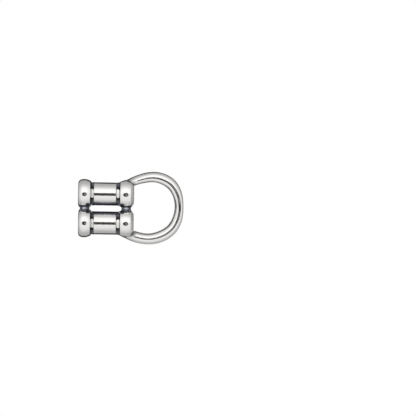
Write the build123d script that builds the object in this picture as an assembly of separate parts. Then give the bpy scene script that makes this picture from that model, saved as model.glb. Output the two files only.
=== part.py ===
from build123d import *
import os
from math import sqrt

# Double-tube crimp end with a loop, cast in one piece. Millimetres.
# It lies as on a table: the tubes run along X with their mouths towards -X,
# the loop reaches towards +X, and Z is up.
# Origin: half way along the overall length, midway between the two tubes,
# on the plane that the piece lies on.

# Barrels
barrel_length = 7.48
bore_diameter = 2.0  # takes 2 mm round cord
tube_wall = 0.54

# Collars, one at each end of each barrel. Their widths and crests are distances from
# the barrel's end face.
collar_rise = 0.41  # of a collar's crest above the tube
collar_merge = 0.03  # by which the collars of the two barrels run into each other
cove_depth = 0.04  # how far the groove beside a collar goes below the tube

mouth_collar_width = 1.74
mouth_collar_crest = 0.93
mouth_crown_drop = 0.35  # of the collar's crown from its crest to the face
mouth_back_step = 0.15  # by which the collar's back edge stays above the tube
mouth_corner_radius = 0.45
mouth_lip_radius = 0.25
mouth_cove_radius = 0.34

loop_collar_width = 1.84
loop_collar_crest = 1.02
loop_crown_drop = 0.69
loop_back_step = 0.05
loop_corner_radius = 0.20
loop_lip_radius = 0.17
loop_cove_radius = 0.42

# Webs that join the two barrels at their collars. The slot lies between them.
web_height = 1.6
mouth_web_setback = 0.25  # from the mouth faces
mouth_web_length = 1.38
loop_web_setback = 0.41  # from the faces at the loop
loop_web_length = 1.33

# Loop
loop_reach = 6.01  # from the faces at the loop to the far centre of the wire
loop_overhang = 0.24  # of the wire's centre line outside the collars, nominal
wire_thickness = 1.4  # seen from above, nominal
wire_height = 1.4
root_depth = 1.45  # from the faces at the loop back to the wire's ends in the collars
root_offset = 1.07  # from a bore's axis out to the wire's centre at its end

# Sections of the free wire, from its upper side round to its lower side. Along is a
# share of loop_reach, across of the loop's half spread and thick of wire_thickness.
# The loop is a little uneven as cast, so its two sides differ.
loop_sections = (
    (-0.025, 0.890, 0.88),
    (0.178, 0.989, 0.94),
    (0.391, 1.040, 0.98),
    (0.632, 0.982, 1.04),
    (0.830, 0.800, 1.03),
    (0.960, 0.480, 0.93),
    (1.000, 0.085, 0.86),
    (0.970, -0.279, 0.95),
    (0.849, -0.625, 1.03),
    (0.616, -0.868, 1.09),
    (0.333, -0.962, 1.04),
    (0.022, -0.885, 1.03),
)
upper_root_share = 0.86  # of wire_thickness
lower_root_share = 1.0  # of wire_thickness

# Worked out from the sizes above
bore_radius = bore_diameter / 2
tube_radius = bore_radius + tube_wall
collar_radius = tube_radius + collar_rise
barrel_spacing = 2 * collar_radius - collar_merge
slot_width = barrel_spacing - 2 * tube_radius
slot_start = mouth_web_setback + mouth_web_length
slot_end = barrel_length - loop_web_setback - loop_web_length
loop_half_spread = barrel_spacing / 2 + collar_radius + loop_overhang

mouth_collar = {
    "width": mouth_collar_width,
    "crest": mouth_collar_crest,
    "drop": mouth_crown_drop,
    "step": mouth_back_step,
    "corner": mouth_corner_radius,
    "lip": mouth_lip_radius,
    "cove": mouth_cove_radius,
}
loop_collar = {
    "width": loop_collar_width,
    "crest": loop_collar_crest,
    "drop": loop_crown_drop,
    "step": loop_back_step,
    "corner": loop_corner_radius,
    "lip": loop_lip_radius,
    "cove": loop_cove_radius,
}


def arc_about(centre, start, end):
    """The short arc about centre from start to end, all in the XY plane."""
    centre, start, end = Vector(*centre), Vector(*start), Vector(*end)
    bisector = (start + end - centre * 2).normalized()
    return ThreePointArc(start, centre + bisector * (start - centre).length, end)


def barrel_end(collar):
    """The collar and cove of one barrel end, without the bore, on the X axis with its
    face at X = 0, and the distance from the face at which the plain tube starts."""
    crest, corner, cove = collar["crest"], collar["corner"], collar["cove"]

    # From the face over its corner to the crest
    crown = (crest**2 + collar["drop"] ** 2) / (2 * collar["drop"])
    crown_centre = (crest, collar_radius - crown)
    corner_rise = sqrt((crown - corner) ** 2 - (crest - corner) ** 2)
    corner_centre = (corner, crown_centre[1] + corner_rise)
    outwards = (Vector(*corner_centre) - Vector(*crown_centre)).normalized()
    crown_start = Vector(*crown_centre) + outwards * crown
    crown_start = (crown_start.X, crown_start.Y)

    # From the crest down to the back edge
    fall = collar_rise - collar["step"]
    run = collar["width"] - crest
    back = (run**2 + fall**2) / (2 * fall)
    back_edge = (collar["width"], collar_radius - fall)

    # The cove from the back edge to the tube
    cove_height = tube_radius - cove_depth + cove
    to_floor = sqrt(cove**2 - (cove_height - back_edge[1]) ** 2)
    to_tube = sqrt(cove**2 - (cove - cove_depth) ** 2)
    cove_centre = (collar["width"] + to_floor, cove_height)
    tube_start = (cove_centre[0] + to_tube, tube_radius)

    outline = [
        Line((0, 0), (0, corner_centre[1])),
        arc_about(corner_centre, (0, corner_centre[1]), crown_start),
        arc_about(crown_centre, crown_start, (crest, collar_radius)),
        arc_about((crest, collar_radius - back), (crest, collar_radius), back_edge),
        arc_about(cove_centre, back_edge, tube_start),
        Line(tube_start, (tube_start[0], 0)),
        Line((tube_start[0], 0), (0, 0)),
    ]
    return revolve(make_face(outline), Axis.X), tube_start[0]


def lip_flare(collar):
    """What the rounded lip of one bore takes away, on the X axis, the face at X = 0."""
    lip = collar["lip"]
    outline = [
        Line((0, 0), (0, bore_radius + lip)),
        arc_about((lip, bore_radius + lip), (0, bore_radius + lip), (lip, bore_radius)),
        Line((lip, bore_radius), (lip, 0)),
        Line((lip, 0), (0, 0)),
    ]
    return revolve(make_face(outline), Axis.X)


def at_loop_end(shape):
    """Turns a shape made for the mouth end round to the barrel's other end."""
    return Pos(barrel_length, 0, 0) * mirror(shape, about=Plane.YZ)


def rod(start, end, radius):
    """A cylinder along the X axis from start to end."""
    return Pos(start, 0, 0) * extrude(Plane.YZ * Circle(radius), end - start)


def barrel():
    """One barrel without its bore, its mouth face at X = 0."""
    mouth_end, tube_from = barrel_end(mouth_collar)
    loop_end, tube_back = barrel_end(loop_collar)
    tube = rod(tube_from, barrel_length - tube_back, tube_radius)
    return mouth_end + tube + at_loop_end(loop_end)


def bore():
    """What one bore takes away. It stops at the face at the loop, short of the wire."""
    through = rod(-collar_radius, barrel_length, bore_radius)
    return through + lip_flare(mouth_collar) + at_loop_end(lip_flare(loop_collar))


def webs():
    """The two webs between the barrels, cut back by the round-ended slot."""
    mouth_web = (mouth_web_setback, slot_start + slot_width / 2)
    loop_web = (slot_end - slot_width / 2, barrel_length - loop_web_setback)
    blocks = [
        Pos((start + end) / 2, 0, 0) * Box(end - start, barrel_spacing, web_height)
        for start, end in (mouth_web, loop_web)
    ]
    slot = SlotOverall(slot_end - slot_start, slot_width)
    cut = extrude(slot, web_height, both=True)
    return blocks[0] + blocks[1] - Pos((slot_start + slot_end) / 2, 0, 0) * cut


def loop():
    """The wire of the loop, lofted through its sections. Its ends lie in the collars."""
    root_x = barrel_length - root_depth
    root_y = barrel_spacing / 2 + root_offset
    stations = [(Vector(root_x, root_y), upper_root_share)]
    for along, across, thick in loop_sections:
        place = (barrel_length + along * loop_reach, across * loop_half_spread)
        stations.append((Vector(*place), thick))
    stations.append((Vector(root_x, -root_y), lower_root_share))

    centre_line = Spline(*[place for place, thick in stations])
    sections = []
    for place, thick in stations:
        onwards = centre_line.tangent_at(centre_line.param_at_point(place))
        ellipse = Ellipse(wire_height / 2, wire_thickness * thick / 2)
        sections.append(Plane(place, x_dir=(0, 0, 1), z_dir=onwards) * ellipse)
    return loft(sections)


def crimp_end():
    """The whole casting, with the mouth faces at X = 0 and the bores at Z = 0."""
    sides = [Pos(0, side * barrel_spacing / 2, 0) for side in (1, -1)]
    metal = webs() + loop()
    for side in sides:
        metal += side * barrel()
    for side in sides:
        metal -= side * bore()
    return metal


casting = crimp_end()
overall_length = casting.bounding_box().max.X
casting = Pos(-overall_length / 2, 0, collar_radius) * casting
casting.label = "crimp_end"

os.makedirs("parts", exist_ok=True)
export_step(casting, "parts/crimp_end.step")

box = casting.bounding_box()
print("lowest corner", box.min, "highest corner", box.max)
print("solids", len(casting.solids()), "volume", casting.volume)
print("centre of mass", casting.center(CenterOf.MASS))
print("mouth faces at X", -overall_length / 2)
print("faces at the loop at X", barrel_length - overall_length / 2)
print("bores at Y +-", barrel_spacing / 2, "and Z", collar_radius)
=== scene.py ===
import math
import bmesh
import bpy
import numpy as np
from mathutils import Matrix, Vector


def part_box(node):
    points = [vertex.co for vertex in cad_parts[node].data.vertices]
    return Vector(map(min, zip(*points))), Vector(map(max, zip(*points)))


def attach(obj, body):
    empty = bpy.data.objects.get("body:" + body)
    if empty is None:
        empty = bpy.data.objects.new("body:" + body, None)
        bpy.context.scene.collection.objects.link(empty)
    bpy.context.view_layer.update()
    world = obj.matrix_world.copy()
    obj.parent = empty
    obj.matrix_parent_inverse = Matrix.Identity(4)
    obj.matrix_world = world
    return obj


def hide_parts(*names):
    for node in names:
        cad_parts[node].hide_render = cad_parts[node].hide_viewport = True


# Crimp end: two collared tubes for round cord, joined by short webs, with a wire loop.
# Shapes are made in millimetres and turned into metres when the casting is finished.

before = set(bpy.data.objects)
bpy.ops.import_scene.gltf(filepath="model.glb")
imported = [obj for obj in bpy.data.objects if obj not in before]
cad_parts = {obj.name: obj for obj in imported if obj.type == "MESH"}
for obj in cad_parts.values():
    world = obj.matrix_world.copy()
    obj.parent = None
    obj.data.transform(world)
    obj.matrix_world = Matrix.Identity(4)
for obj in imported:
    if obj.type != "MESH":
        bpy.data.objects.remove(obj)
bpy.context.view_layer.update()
millimetre = 0.001
mergeDistance = 0.0005  # in millimetres, as the sizes below
sharpAngle = math.radians(35)
lowCorner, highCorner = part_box("crimp_end")
mouthX = lowCorner.x / millimetre  # of the mouth faces of both tubes
axisHeight = (lowCorner.z + highCorner.z) / 2 / millimetre  # of the bores above the floor
print("frame loaded, mouth faces at x", round(mouthX, 3), "mm")


def addPiece(name, bm):
    mesh = bpy.data.meshes.new(name)
    bm.to_mesh(mesh)
    bm.free()
    piece = bpy.data.objects.new(name, mesh)
    bpy.context.scene.collection.objects.link(piece)
    return piece


def closeUp(bm):
    bmesh.ops.remove_doubles(bm, verts=bm.verts, dist=mergeDistance)
    bmesh.ops.recalc_face_normals(bm, faces=bm.faces)


def roundOutline(bm, outline, arcSteps):
    # outline holds corners as (x, radius, rounding), the rounding measured along the edges
    corners = [bm.verts.new((x, 0, radius)) for x, radius, rounding in outline]
    bm.faces.new(corners)
    for corner, (x, radius, rounding) in zip(corners, outline):
        if rounding:
            bmesh.ops.bevel(bm, geom=[corner], offset=rounding, offset_type="ABSOLUTE",
                            segments=arcSteps, profile=0.5, affect="VERTICES",
                            material=-1, clamp_overlap=False)
    bm.faces.ensure_lookup_table()
    return [(vert.co.x, vert.co.z) for vert in bm.faces[0].verts]


def spinOutline(bm, outline, arcSteps, spinSteps):
    roundOutline(bm, outline, arcSteps)
    bmesh.ops.delete(bm, geom=bm.faces[:], context="FACES_ONLY")
    bmesh.ops.spin(bm, geom=bm.verts[:] + bm.edges[:], cent=(0, 0, 0), axis=(1, 0, 0),
                   angle=2 * math.pi, steps=spinSteps, use_merge=True)
    closeUp(bm)


# ---- tubes
tube = {
    "length": 7.48,
    "spacing": 3.87,  # between the two bores
    "arcSteps": 9,
    "spinSteps": 144,
    "outline": (  # half section, from the mouth along the outside and back along the bore
        (0, 1.640, 0.20), (0.340, 1.905, 0.22), (0.800, 1.964, 0.22), (1.270, 1.914, 0.22),
        (1.720, 1.690, 0.04), (1.760, 1.510, 0.04), (2.090, 1.572, 0.03), (2.150, 1.540, 0.02),
        (2.250, 1.540, 0), (4.990, 1.540, 0), (5.080, 1.540, 0.015), (5.110, 1.515, 0.015),
        (5.560, 1.595, 0.03), (5.610, 1.650, 0.03), (6.330, 1.965, 0.40), (7.020, 1.872, 0.10),
        (7.420, 1.340, 0.05), (7.480, 1.230, 0.03), (7.480, 1.000, 0.17), (0, 1.000, 0.25),
    ),
    "topOutline": (  # the same corners on the top and underside, where polishing squared them
        (0, 1.640, 0.20), (0.340, 1.905, 0.22), (0.780, 1.964, 0.22), (1.200, 1.918, 0.15),
        (1.610, 1.810, 0.04), (1.880, 1.530, 0.03), (2.090, 1.572, 0.03), (2.150, 1.540, 0.02),
        (2.250, 1.540, 0), (4.990, 1.540, 0), (5.080, 1.540, 0.015), (5.110, 1.515, 0.015),
        (5.590, 1.595, 0.03), (5.660, 1.858, 0.04), (6.330, 1.994, 0.45), (7.090, 1.846, 0.06),
        (7.430, 1.400, 0.04), (7.480, 1.230, 0.03), (7.480, 1.000, 0.17), (0, 1.000, 0.25),
    ),
    "topReach": (55, 88),  # degrees round the tube over which one turns into the other
    "lowerShift": 0.03,  # by which the lower tube lies nearer to the loop
    "trimmed": ((0.03, 0.02), (0.06, 0.055)),  # off the faces of the upper and lower tube
    "trimReach": (0.34, 0.48),  # over which the rounding beside a face follows it
    # where polishing has flattened a collar's top: x from the mouth, y, depth, and its
    # reach along and across the tube
    "flats": (
        (0.84, 1.935, 0.012, 0.42, 0.95), (0.80, -1.935, 0.013, 0.42, 0.70),
        (6.36, 1.935, 0.008, 0.45, 0.56), (6.38, -1.935, 0.008, 0.45, 0.56),
    ),
}


def flattenTops(bm, flats):
    for x, y, depth, reachX, reachY in flats:
        for vert in bm.verts:
            offset = ((vert.co.x - mouthX - x) / reachX)**2 + ((vert.co.y - y) / reachY)**2
            if offset < 1 and vert.co.z > axisHeight:
                vert.co.z -= depth * (1 - offset)**2


def squareTops(bm):
    plain, squared = bmesh.new(), bmesh.new()
    start = np.array(roundOutline(plain, tube["outline"], tube["arcSteps"]))
    goal = np.array(roundOutline(squared, tube["topOutline"], tube["arcSteps"]))
    near, far = tube["topReach"]
    for vert in bm.verts:
        radius = math.hypot(vert.co.y, vert.co.z)
        k = np.argmin(np.hypot(start[:, 0] - vert.co.x, start[:, 1] - radius))
        fromTop = math.degrees(math.atan2(abs(vert.co.y), abs(vert.co.z)))
        share = min(1, max(0, (far - fromTop) / (far - near)))
        move = (goal[k] - start[k]) * share * share * (3 - 2 * share)
        vert.co = (vert.co.x + move[0], vert.co.y * (1 + move[1] / radius),
                   vert.co.z * (1 + move[1] / radius))
    plain.free()
    squared.free()


def trimEnds(bm, trims):
    for vert in bm.verts:
        near, far = vert.co.x, tube["length"] - vert.co.x
        if near < tube["trimReach"][0]:
            vert.co.x += trims[0] * (1 - near / tube["trimReach"][0])
        elif far < tube["trimReach"][1]:
            vert.co.x -= trims[1] * (1 - far / tube["trimReach"][1])


def makeTube(name, side):
    bm = bmesh.new()
    spinOutline(bm, tube["outline"], tube["arcSteps"], tube["spinSteps"])
    squareTops(bm)
    trimEnds(bm, tube["trimmed"][side < 0])
    shift = tube["lowerShift"] if side < 0 else 0
    place = (mouthX + shift, side * tube["spacing"] / 2, axisHeight)
    bmesh.ops.translate(bm, vec=place, verts=bm.verts)
    flattenTops(bm, tube["flats"])
    return addPiece(name, bm)


# ---- clearance kept free in each bore, a little inside the metal, so webs and wire stop there
boreClearance = {
    "outline": ((-0.5, 0, 0), (-0.5, 1.05, 0), (7.28, 1.05, 0), (7.37, 1.10, 0),
                (7.44, 1.25, 0), (7.44, 0, 0)),
    "spinSteps": 64,
}


def makeClearance(name, side):
    bm = bmesh.new()
    spinOutline(bm, boreClearance["outline"], 1, boreClearance["spinSteps"])
    place = (mouthX, side * tube["spacing"] / 2, axisHeight)
    bmesh.ops.translate(bm, vec=place, verts=bm.verts)
    return addPiece(name, bm)


# ---- webs between the tubes
web = {
    "height": 1.6,
    "slotWidth": 0.79,
    "slotStart": 1.53,  # where the slot's round ends reach, from the mouth
    "slotEnd": 5.84,
    "mouthSetback": 0.28,
    "loopSetback": 0.41,
    "rounding": 0.16,
    "roundSteps": 4,
    "slotSteps": 24,
    "tolerance": 0.01,  # within which an edge counts as level or as inside a tube
}


def makeWeb(name, outerX, slotX, direction):
    # direction points from the slot's round end into the slot
    bm = bmesh.new()
    radius = web["slotWidth"] / 2
    centreX = slotX + direction * radius
    halfSpacing = tube["spacing"] / 2
    start = bm.verts.new((centreX, radius, 0))
    bmesh.ops.spin(bm, geom=[start], cent=(centreX, 0, 0), axis=(0, 0, direction),
                   angle=math.pi, steps=web["slotSteps"])
    arc = sorted(bm.verts, key=lambda vert: -vert.co.y)
    corners = [(centreX, -halfSpacing), (outerX, -halfSpacing),
               (outerX, halfSpacing), (centreX, halfSpacing)]
    outline = bm.faces.new(arc + [bm.verts.new((x, y, 0)) for x, y in corners])
    raised = bmesh.ops.extrude_face_region(bm, geom=[outline])["geom"]
    top = [item for item in raised if isinstance(item, bmesh.types.BMVert)]
    bmesh.ops.translate(bm, vec=(0, 0, web["height"]), verts=top)
    closeUp(bm)
    # the edges round the top and the underside, but not those inside the tubes
    rims = [edge for edge in bm.edges if len(edge.link_faces) == 2
            and abs(edge.verts[0].co.z - edge.verts[1].co.z) < web["tolerance"]
            and not all(halfSpacing - abs(vert.co.y) < web["tolerance"]
                        for vert in edge.verts)]
    bmesh.ops.bevel(bm, geom=rims, offset=web["rounding"], offset_type="OFFSET",
                    segments=web["roundSteps"], profile=0.5, affect="EDGES",
                    material=-1, clamp_overlap=True)
    closeUp(bm)
    bmesh.ops.translate(bm, vec=(mouthX, 0, axisHeight - web["height"] / 2), verts=bm.verts)
    return addPiece(name, bm)


# ---- wire of the loop
wire = {
    "ringSteps": 64,
    "spacing": 0.1,  # between sections along the wire
    # x from the mouth, y, thickness seen from above, height, how far the wire's top leans
    # towards the inside of the loop, and how much its top and underside are worn flat
    "stations": (
        (6.030, 2.930, 1.110, 1.66, 0.20, 0.03), (7.330, 3.650, 1.140, 1.62, 0.15, 0.03),
        (7.850, 3.859, 1.196, 1.45, 0.12, 0.03), (8.550, 4.075, 1.280, 1.42, 0.10, 0.03),
        (9.830, 4.290, 1.372, 1.40, 0.08, 0.04), (11.278, 4.051, 1.456, 1.40, 0.08, 0.04),
        (12.468, 3.300, 1.442, 1.40, 0.05, 0.06), (13.250, 1.980, 1.285, 1.40, -0.02, 0.11),
        (13.490, 0.351, 1.155, 1.40, -0.11, 0.115), (13.310, -1.151, 1.310, 1.40, -0.07, 0.10),
        (12.582, -2.578, 1.442, 1.40, -0.02, 0.05), (11.182, -3.581, 1.526, 1.40, 0.00, 0.02),
        (9.481, -3.968, 1.456, 1.40, 0.00, 0.00), (7.612, -3.671, 1.442, 1.40, 0.00, 0.00),
        (6.030, -3.040, 1.250, 1.40, 0.00, 0.00),
    ),
    "flats": ((13.55, 0.60, 0.013, 0.38, 1.00),),  # as on the collars, worn by a ring
    "wearFalloff": 7,  # how quickly the wear ends beside the top
}


def smoothStations(stations, spacing):
    # natural cubic spline through the stations, by the distance between them
    points = np.array(stations)
    steps = np.linalg.norm(np.diff(points[:, :2], axis=0), axis=1)
    along = np.concatenate(([0], np.cumsum(steps)))
    count = len(points)
    matrix = np.eye(count)
    right = np.zeros_like(points)
    for k in range(1, count - 1):
        matrix[k, k - 1:k + 2] = (steps[k - 1], 2 * (steps[k - 1] + steps[k]), steps[k])
        right[k] = 6 * ((points[k + 1] - points[k]) / steps[k]
                        - (points[k] - points[k - 1]) / steps[k - 1])
    bend = np.linalg.solve(matrix, right)
    result = []
    for s in np.linspace(0, along[-1], int(along[-1] / spacing) + 1):
        k = min(np.searchsorted(along, s, side="right") - 1, count - 2)
        h, a, b = steps[k], along[k + 1] - s, s - along[k]
        place = (bend[k] * a**3 + bend[k + 1] * b**3) / (6 * h) \
            + (points[k] / h - bend[k] * h / 6) * a + (points[k + 1] / h - bend[k + 1] * h / 6) * b
        slope = (bend[k + 1] * b**2 - bend[k] * a**2) / (2 * h) \
            + (points[k + 1] - points[k]) / h - (bend[k + 1] - bend[k]) * h / 6
        result.append((place, slope))
    return result


def makeWire(name):
    bm = bmesh.new()
    placements, wear = [], []
    for station, slope in smoothStations(wire["stations"], wire["spacing"]):
        x, y, thickness, height, lean, worn = station
        onward = Vector((slope[0], slope[1], 0)).normalized()
        inward = Vector((onward.y, -onward.x, 0))
        top = inward * lean + Vector((0, 0, height / 2))
        section = Matrix((inward * thickness / 2, top, onward)).transposed().to_4x4()
        centre = Matrix.Translation((mouthX + x, y, axisHeight))
        placements.append(centre @ section)
        wear.append(max(0, worn))
    bmesh.ops.create_circle(bm, cap_ends=True, radius=1, segments=wire["ringSteps"],
                            matrix=placements[0])
    ring, rings = bm.edges[:], [bm.verts[:]]
    for before, after in zip(placements, placements[1:]):
        grown = bmesh.ops.extrude_edge_only(bm, edges=ring)["geom"]
        verts = [item for item in grown if isinstance(item, bmesh.types.BMVert)]
        ring = [item for item in grown if isinstance(item, bmesh.types.BMEdge)
                and all(vert in verts for vert in item.verts)]
        bmesh.ops.transform(bm, matrix=after @ before.inverted(), verts=verts)
        rings.append(verts)
    bmesh.ops.contextual_create(bm, geom=ring)
    for verts, placement, worn in zip(rings, placements, wear):
        for vert in verts:
            local = placement.inverted() @ vert.co
            local.y -= worn * local.y**wire["wearFalloff"]
            vert.co = placement @ local
    closeUp(bm)
    flattenTops(bm, wire["flats"])
    return addPiece(name, bm)


def applyModifiers(piece):
    graph = bpy.context.evaluated_depsgraph_get()
    finished = bpy.data.meshes.new_from_object(piece.evaluated_get(graph))
    piece.modifiers.clear()
    piece.data = finished


def combine(piece, others, operation):
    for other in others:
        modifier = piece.modifiers.new(other.name, "BOOLEAN")
        modifier.solver = "EXACT"
        modifier.operation = operation
        modifier.object = other
        applyModifiers(piece)


def discard(pieces):
    for piece in pieces:
        bpy.data.objects.remove(piece)


print("making the tubes, webs and wire")
casting = makeTube("crimp_end_casting", 1)
lowerTube = makeTube("lower_tube", -1)
clearances = [makeClearance("clearance_upper", 1), makeClearance("clearance_lower", -1)]
webs = [makeWeb("mouth_web", web["mouthSetback"], web["slotStart"], 1),
        makeWeb("loop_web", tube["length"] - web["loopSetback"], web["slotEnd"], -1)]
loopWire = makeWire("loop_wire")
for piece in webs + [loopWire]:
    combine(piece, clearances, "DIFFERENCE")
combine(casting, [lowerTube] + webs + [loopWire], "UNION")
discard([lowerTube, loopWire] + webs + clearances)

bm = bmesh.new()
bm.from_mesh(casting.data)
closeUp(bm)
bmesh.ops.scale(bm, vec=(millimetre,) * 3, verts=bm.verts)
openEdges = sum(1 for edge in bm.edges if len(edge.link_faces) != 2)
print("casting:", len(bm.faces), "faces,", openEdges, "open edges")
bm.to_mesh(casting.data)
bm.free()
casting.data.shade_smooth()
casting.data.set_sharp_from_angle(angle=sharpAngle)

# ---- material
skySamples = 16  # of the open sky above a point, for the patina and painted shade, and for the floor's shade
silver = {
    "colour": (0.935, 0.927, 0.91, 1),
    "roughness": 0.09,
    "wornRoughness": 0.06,  # how much it varies
    "mottleScale": 2.6,  # per mm
    "mottleDetail": 3.0,
    "mottleGrit": 0.6,
    "waviness": 0.005 * millimetre,
    # dark colour of the patina and painted shade in hollows, grooves, creases and between the
    # collars
    "patinaAndShadeColour": (0.085, 0.088, 0.098, 1),
    "patinaRoughness": 0.34,
    "patinaReach": 2.0 * millimetre,
    "patinaFrom": 0.955,  # share of open sky at which the patina and painted shade start
    "patinaFull": 0.64,
    "patinaMottle": 0.06,
    "paintedTiltPaleness": (0.50, 1.15, 0.25, 4.2),  # radians from the top, and how pale the patina and painted shade are there: painted light, paler down the sides than near the top
    "tubesEnd": (7.80, 7.60),  # from the mouth, all round the faces at the loop
    "lowerFrom": (0.2, -0.2),  # across, where the places on the lower tube take over
    # patina and painted shade: the dark strip between the collars, and the dark corners of the
    # collars beside the slot
    "webMiddle": 0.11,
    "webWidth": 0.33,  # each side of its middle
    "webFrom": (2.02, 2.10),  # where both start, from half way along the tubes
    "cornerWidth": 0.69,
    "cornerEnds": (2.60, 2.45),
    "webEdge": 0.06,  # softness of their edges
    "webPaleness": 1.5,
    # patina and painted dark reflections in the grooves beside the collars
    "grooves": (1.905, 5.36),  # their middles, from the mouth
    "grooveHalf": (0.28, 0.23),  # where their patina and painted shade end, from their middles
    "grooveSides": (0.15, 0.21),  # where the dark lines at their sides start
    "sidesTop": (0.05, 0.55, 0.85, 0.40),  # how much of that patina and painted shade those keep on top, from the mouth
    "sidesChange": 0.1,  # over which one turns into the next
    "grooveShadeFrom": (0.365, 0.43),  # radians from the top where the patina and painted dark reflections start; the top stays bright
    "grooveMottle": 0.3,
    "brightStretchRound": 2.4,  # how much the ends of the bright stretch on top are rounded
    "grooveTurn": 0.05,  # by which it lies outwards of the top
    # the faces at the loop, from the mouth, the slot and the wire, and the collars next to
    # the webs, from half way along the tubes and from the middle between them
    # these stretches are kept free of the patina and painted shade in hollows
    "cleanFace": ((6.95, 7.10), (0.62, 0.85), (3.2, 2.9)),
    "cleanFlanks": ((2.35, 2.55), (3.25, 3.05), (1.5, 1.1)),
    "flanksCleaned": 0.72,
    "faceFrom": (7.02, 7.12),  # where the faces at the loop, less well polished, start
    "faceWithin": (1.97, 1.85),  # and how far they reach from the bore's axis
    "faceRoughness": 0.5,
    # patina and painted shade at the wire's roots
    "creases": ((7.15, 3.50), (7.20, -3.45)),
    "creaseReach": (0.85, 0.30),
    "creaseDepth": 0.08,
    "creasePaleness": 2.0,
    # painted highlight in the middle of each web
    "spots": ((0.86, 0.02), (6.46, 0.04)),
    "spotReach": (0.33, 0.15),
    "spotEdge": (1.15, 0.55),
    "highlightColour": (0.62, 0.66, 0.74, 1),
    "spotRoughness": 0.55,
}


def addNode(tree, kind, inputs=None, **settings):
    node = tree.nodes.new("ShaderNode" + kind)
    for name, value in settings.items():
        setattr(node, name, value)
    for name, value in (inputs or {}).items():
        if isinstance(value, bpy.types.NodeSocket):
            tree.links.new(value, node.inputs[name])
        else:
            node.inputs[name].default_value = value
    return node


def calc(tree, operation, first, second=0.0, third=0.0):
    return addNode(tree, "Math", {0: first, 1: second, 2: third},
                   operation=operation).outputs[0]


def multiply(tree, *masks):
    result = masks[0]
    for mask in masks[1:]:
        result = calc(tree, "MULTIPLY", result, mask)
    return result


def offBy(tree, value, middle):
    return calc(tree, "ABSOLUTE", calc(tree, "SUBTRACT", value, middle))


def farFrom(tree, place, point):
    return addNode(tree, "VectorMath", {0: place, 1: point},
                   operation="DISTANCE").outputs["Value"]


def ease(tree, value, low, high, toLow=0.0, toHigh=1.0):
    return addNode(tree, "MapRange", {"Value": value, "From Min": low, "From Max": high,
                                      "To Min": toLow, "To Max": toHigh},
                   interpolation_type="SMOOTHSTEP").outputs[0]


def spread(tree, mask, low, high):
    return addNode(tree, "MapRange", {"Value": mask, "To Min": low, "To Max": high}).outputs[0]


def newMaterial(name):
    material = bpy.data.materials.new(name)
    material.use_nodes = True
    material.node_tree.nodes.clear()
    return material, material.node_tree


def fillRamp(ramp, stops):
    while len(ramp.color_ramp.elements) < len(stops):
        ramp.color_ramp.elements.new(0.5)
    for element, (position, value) in zip(ramp.color_ramp.elements, stops):
        element.position = position
        element.color = (value, value, value, 1)


def measureCasting(tree):
    # where a point of the casting is, in mm or radians
    place = addNode(tree, "VectorMath", {0: addNode(tree, "TexCoord").outputs["Object"],
                                         "Scale": 1 / millimetre}, operation="SCALE").outputs[0]
    axes = addNode(tree, "SeparateXYZ", {0: place}).outputs
    shift = ease(tree, axes["Y"], *silver["lowerFrom"], 0.0, tube["lowerShift"])
    along = calc(tree, "SUBTRACT", calc(tree, "SUBTRACT", axes["X"], mouthX), shift)
    fromMiddle = calc(tree, "ABSOLUTE", axes["Y"])
    acrossTube = calc(tree, "SUBTRACT", fromMiddle, tube["spacing"] / 2)
    aboveAxis = offBy(tree, axes["Z"], axisHeight)
    radial = addNode(tree, "CombineXYZ", {"X": acrossTube, "Y": aboveAxis}).outputs[0]
    return {
        "place": place,
        "along": along,  # from the mouth
        "fromHalfWay": offBy(tree, along, sum(silver["grooves"]) / 2),
        "across": axes["Y"],
        "fromMiddle": fromMiddle,  # between the tubes
        "fromAxis": addNode(tree, "VectorMath", {0: radial},
                            operation="LENGTH").outputs["Value"],
        "fromTop": offBy(tree, calc(tree, "ARCTAN2", acrossTube, aboveAxis),
                         silver["grooveTurn"]),
        "onTubes": ease(tree, along, *silver["tubesEnd"]),
    }


def findCreases(tree, at):
    # patina and painted shade near the wire's roots
    flat = addNode(tree, "CombineXYZ", {"X": at["along"], "Y": at["across"]}).outputs[0]
    inCrease = 0.0
    for x, y in silver["creases"]:
        near = ease(tree, farFrom(tree, flat, (x, y, 0)), *silver["creaseReach"])
        inCrease = calc(tree, "ADD", near, inCrease)
    return inCrease


def findRecesses(tree, at, unevenness, inCrease):
    # patina and painted shade in the slot, the webs and other hollows, by how little open sky
    # reaches them
    occlusion = addNode(tree, "AmbientOcclusion", {"Distance": silver["patinaReach"]},
                        only_local=True, samples=skySamples).outputs["AO"]
    openSky = calc(tree, "MULTIPLY_ADD", unevenness, silver["patinaMottle"], occlusion)
    openSky = calc(tree, "SUBTRACT", openSky,
                   calc(tree, "MULTIPLY", inCrease, silver["creaseDepth"]))
    recess = ease(tree, openSky, silver["patinaFull"], silver["patinaFrom"], 1.0, 0.0)
    loopFace, offSlot, offWire = silver["cleanFace"]
    face = multiply(tree, ease(tree, at["along"], *loopFace),
                    ease(tree, at["fromMiddle"], *offSlot),
                    ease(tree, at["fromMiddle"], *offWire))
    inboard, outboard, nearSlot = silver["cleanFlanks"]
    flanks = multiply(tree, ease(tree, at["fromHalfWay"], *inboard),
                      ease(tree, at["fromHalfWay"], *outboard),
                      ease(tree, at["fromMiddle"], *nearSlot, 0.0, silver["flanksCleaned"]))
    cleaned = calc(tree, "MAXIMUM", face, flanks)
    return calc(tree, "MULTIPLY", recess, calc(tree, "SUBTRACT", 1.0, cleaned))


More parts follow.
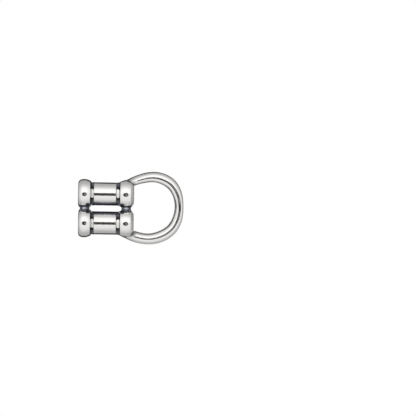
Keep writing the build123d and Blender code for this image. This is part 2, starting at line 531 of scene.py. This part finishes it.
def findGroovePatinaAndShade(tree, at, unevenness):
    # patina and painted dark reflections down the sides of the grooves beside the collars, and
    # thin lines along their tops
    start, end = silver["grooves"]
    offGroove = offBy(tree, at["fromHalfWay"], (end - start) / 2)
    fromTop = calc(tree, "MULTIPLY_ADD", unevenness, silver["grooveMottle"], at["fromTop"])
    fromTop = calc(tree, "MULTIPLY_ADD", calc(tree, "MULTIPLY", offGroove, offGroove),
                   silver["brightStretchRound"], fromTop)
    downSide = ease(tree, fromTop, *silver["grooveShadeFrom"])
    onTop, reach = silver["sidesTop"][0], silver["sidesChange"]
    for x, before, after in zip((start, (start + end) / 2, end), silver["sidesTop"],
                                silver["sidesTop"][1:]):
        step = ease(tree, at["along"], x - reach, x + reach, 0.0, after - before)
        onTop = calc(tree, "ADD", step, onTop)
    lines = calc(tree, "MULTIPLY", ease(tree, offGroove, *silver["grooveSides"]), onTop)
    return calc(tree, "MULTIPLY", calc(tree, "MAXIMUM", downSide, lines),
                ease(tree, offGroove, *silver["grooveHalf"]))


def findWebs(tree, at):
    # patina and painted shade in the strip between the collars and at their corners beside the
    # slot
    def within(value, width):
        return ease(tree, value, width + silver["webEdge"], width - silver["webEdge"])

    strip = within(offBy(tree, at["across"], silver["webMiddle"]), silver["webWidth"])
    corners = calc(tree, "MULTIPLY", within(at["fromMiddle"], silver["cornerWidth"]),
                   ease(tree, at["fromHalfWay"], *silver["cornerEnds"]))
    return multiply(tree, ease(tree, at["fromHalfWay"], *silver["webFrom"]), at["onTubes"],
                    calc(tree, "MAXIMUM", strip, corners))


def findPaintedHighlights(tree, at):
    # painted highlight: a pale bluish spot on the middle of each web's top
    reachX, reachY = silver["spotReach"]
    paintedHighlight = 0.0
    for x, y in silver["spots"]:
        offset = addNode(tree, "VectorMath", {0: at["place"], 1: (mouthX + x, y, 0)},
                         operation="SUBTRACT").outputs[0]
        share = addNode(tree, "VectorMath", {0: offset, 1: (1 / reachX, 1 / reachY, 0)},
                        operation="MULTIPLY").outputs[0]
        far = addNode(tree, "VectorMath", {0: share}, operation="LENGTH").outputs["Value"]
        paintedHighlight = calc(tree, "ADD", ease(tree, far, *silver["spotEdge"]), paintedHighlight)
    return paintedHighlight


def makeSilver():
    material, tree = newMaterial("antiquedSilver")
    at = measureCasting(tree)
    mottle = addNode(tree, "TexNoise", {"Vector": at["place"], "Scale": silver["mottleScale"],
                                        "Detail": silver["mottleDetail"],
                                        "Roughness": silver["mottleGrit"]}).outputs[0]
    unevenness = calc(tree, "SUBTRACT", mottle, 0.5)
    inCrease = findCreases(tree, at)
    recess = findRecesses(tree, at, unevenness, inCrease)
    onWebs = findWebs(tree, at)
    # patina and painted shade, darkest in hollows, in the grooves and between the collars
    patinaAndShade = calc(tree, "MAXIMUM", calc(
        tree, "MAXIMUM", recess, findGroovePatinaAndShade(tree, at, unevenness)), onWebs)
    paintedHighlight = findPaintedHighlights(tree, at)

    # painted light: the patina and painted shade are darker near the top and paler down the sides
    near, far, dark, pale = silver["paintedTiltPaleness"]
    paleness = addNode(tree, "MapRange", {"Value": at["fromTop"], "From Min": near,
                                          "From Max": far, "To Min": dark,
                                          "To Max": pale}).outputs[0]
    paleness = spread(tree, onWebs, paleness, silver["webPaleness"])
    paleness = spread(tree, inCrease, paleness, silver["creasePaleness"])
    patinaAndShadeColour = addNode(tree, "VectorMath", {0: silver["patinaAndShadeColour"][:3],
                                                "Scale": paleness}, operation="SCALE")
    darkened = addNode(tree, "Mix", {0: patinaAndShade, 6: silver["colour"],
                                     7: patinaAndShadeColour.outputs[0]}, data_type="RGBA")
    # painted highlight in the middle of each web
    colour = addNode(tree, "Mix", {0: paintedHighlight, 6: darkened.outputs[2], 7: silver["highlightColour"]},
                     data_type="RGBA")

    onFace = multiply(tree, ease(tree, at["along"], *silver["faceFrom"]), at["onTubes"],
                      ease(tree, at["fromAxis"], *silver["faceWithin"], 0.0,
                           silver["faceRoughness"]))
    roughness = ease(tree, patinaAndShade, 0, 1, silver["roughness"], silver["patinaRoughness"])
    roughness = spread(tree, paintedHighlight, roughness, silver["spotRoughness"])
    roughness = calc(tree, "MULTIPLY_ADD", unevenness, silver["wornRoughness"],
                     calc(tree, "MAXIMUM", roughness, onFace))
    bump = addNode(tree, "Bump", {"Height": mottle, "Distance": silver["waviness"]})
    shader = addNode(tree, "BsdfPrincipled", {"Base Color": colour.outputs[2],
                                              "Roughness": roughness, "Metallic": 1.0,
                                              "Normal": bump.outputs["Normal"]})
    addNode(tree, "OutputMaterial", {"Surface": shader.outputs[0]})
    return material


casting.data.materials.clear()
casting.data.materials.append(makeSilver())
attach(casting, "root")
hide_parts("crimp_end")
print("casting finished")

# ---- floor: plain white to the camera, and a soft shade round the casting in reflections
floorTones = {
    "halfSize": 1.5,
    "shadeReach": 12 * millimetre,
    "shadeLean": (-0.75, -1.0, 1.5),  # round the loop, from x to x, the shade falls to +Y
    # paler and darker patches of the shade: x, y, outer and inner reach in mm, change
    "patches": ((2.6, 1.1, 4.2, 2.2, 0.13), (0.9, 0, 2.8, 1.2, 0.12),
                (2.9, 2.9, 1.6, 0.6, 0.12), (1.6, 2.6, 1.5, 0.6, -0.20),
                (4.5, 1.9, 1.7, 0.6, -0.14),
                (-6.6, -4.4, 3.2, 1.6, -0.15), (-6.6, 4.4, 3.2, 1.6, -0.12),
                (-3.0, -4.9, 3.0, 1.6, -0.05), (-3.0, 4.9, 3.0, 1.6, -0.08)),
    "shadeFull": 0.83,  # share of open sky at which the floor is darkest
    "shadeFrom": 0.96,
    "dark": 0.04,
    "open": 0.46,
}
bm = bmesh.new()
bmesh.ops.create_grid(bm, x_segments=1, y_segments=1, size=floorTones["halfSize"])
floor = addPiece("floor", bm)
floorMaterial, tree = newMaterial("paleFloor")
openSky = addNode(tree, "AmbientOcclusion", {"Distance": floorTones["shadeReach"]},
                  samples=skySamples)
floorPlace = addNode(tree, "TexCoord").outputs["Object"]
floorX = addNode(tree, "SeparateXYZ", {0: floorPlace}).outputs["X"]
lean, leanFrom, leanFull = floorTones["shadeLean"]
leaning = ease(tree, floorX, leanFrom * millimetre, leanFull * millimetre, 0.0, lean)
upward = addNode(tree, "VectorMath", {0: addNode(tree, "CombineXYZ", {
    "Y": leaning, "Z": 1.0}).outputs[0]}, operation="NORMALIZE")
tree.links.new(upward.outputs[0], openSky.inputs["Normal"])
openness = openSky.outputs["AO"]
for x, y, outer, inner, change in floorTones["patches"]:
    far = farFrom(tree, floorPlace, Vector((x, y, 0)) * millimetre)
    openness = calc(tree, "ADD", openness, ease(tree, far, outer * millimetre,
                                                inner * millimetre, 0.0, change))
shade = ease(tree, openness, floorTones["shadeFull"], floorTones["shadeFrom"],
             floorTones["dark"], floorTones["open"])
seen = addNode(tree, "LightPath").outputs["Is Camera Ray"]
glow = addNode(tree, "Emission", {"Color": (1, 1, 1, 1),
                                  "Strength": spread(tree, seen, shade, 1.0)})
addNode(tree, "OutputMaterial", {"Surface": glow.outputs[0]})
floor.data.materials.append(floorMaterial)
print("floor laid")

# ---- light: a white tent that is a little darker towards the horizon
tent = {
    "stops": ((0, 0.50), (0.156, 0.56), (0.375, 0.67), (0.545, 0.77), (0.695, 0.82),
              (0.85, 0.86), (1.0, 0.88)),
    "brighter": (0, 0.42, 0.91),  # towards the lamp behind the tent's cloth
    "brighterBy": 0.22,
    "brighterEdge": (0.80, 0.975),  # cosine of the angle from there
}
bpy.context.scene.view_settings.view_transform = "Standard"
world = bpy.data.worlds.new("tent")
bpy.context.scene.world = world
world.use_nodes = True
tree = world.node_tree
direction = addNode(tree, "TexCoord").outputs["Generated"]
height = addNode(tree, "SeparateXYZ", {0: direction}).outputs["Z"]
cloth = addNode(tree, "ValToRGB", {"Fac": height})
fillRamp(cloth, tent["stops"])
towardsLamp = addNode(tree, "VectorMath", {0: direction, 1: tent["brighter"]},
                      operation="DOT_PRODUCT").outputs["Value"]
lamp = ease(tree, towardsLamp, *tent["brighterEdge"], 0.0, tent["brighterBy"])
light = calc(tree, "ADD", cloth.outputs["Color"], lamp)
seen = addNode(tree, "LightPath").outputs["Is Camera Ray"]
background = tree.nodes["Background"]
background.inputs["Color"].default_value = (1, 1, 1, 1)
tree.links.new(spread(tree, seen, light, 1.0), background.inputs["Strength"])
print("tent lit")

# ---- dark opening in the tent that the camera looks through, seen only in reflections
opening = {
    "height": 0.3,
    "radius": 0.073,
    "centre": (0.0157, -0.0236),
    "tone": (0.034, 0.025, 0.021, 1),
    "lensRadius": 0.0270,
    "lensCentre": (0.0215, -0.0215),
    "lensTone": (0.31, 0.305, 0.30, 1),
    "lensDrop": 0.001,  # below the opening
    "segments": 64,
}


def makeDisc(name, radius, centre, height, tone):
    bm = bmesh.new()
    bmesh.ops.create_circle(bm, cap_ends=True, radius=radius, segments=opening["segments"],
                            matrix=Matrix.Translation((*centre, height)))
    disc = addPiece(name, bm)
    material, tree = newMaterial(name)
    glow = addNode(tree, "Emission", {"Color": tone})
    addNode(tree, "OutputMaterial", {"Surface": glow.outputs[0]})
    disc.data.materials.append(material)
    disc.visible_camera = False
    disc.visible_diffuse = False
    disc.visible_shadow = False


makeDisc("darkOpening", opening["radius"], opening["centre"], opening["height"],
         opening["tone"])
makeDisc("lens", opening["lensRadius"], opening["lensCentre"],
         opening["height"] - opening["lensDrop"], opening["lensTone"])

# ---- camera
view = {
    "aim": (10.307, 0.290, 1.95),  # what the middle of the picture shows, in mm
    "distance": 600,
    "width": 55.47,  # of the field at that distance
    "roll": 0.95,  # degrees
    "sensor": 36,
    "clip": (0.01, 10),  # in metres
}
camera = bpy.data.cameras.new("camera")
camera.sensor_width = view["sensor"]
camera.lens = view["sensor"] * view["distance"] / view["width"]
camera.clip_start, camera.clip_end = view["clip"]
cameraObject = bpy.data.objects.new("camera", camera)
cameraObject.location = (Vector(view["aim"]) + Vector((0, 0, view["distance"]))) * millimetre
cameraObject.rotation_euler = (0, 0, math.radians(view["roll"]))
bpy.context.scene.collection.objects.link(cameraObject)
bpy.context.scene.camera = cameraObject
print("camera placed")
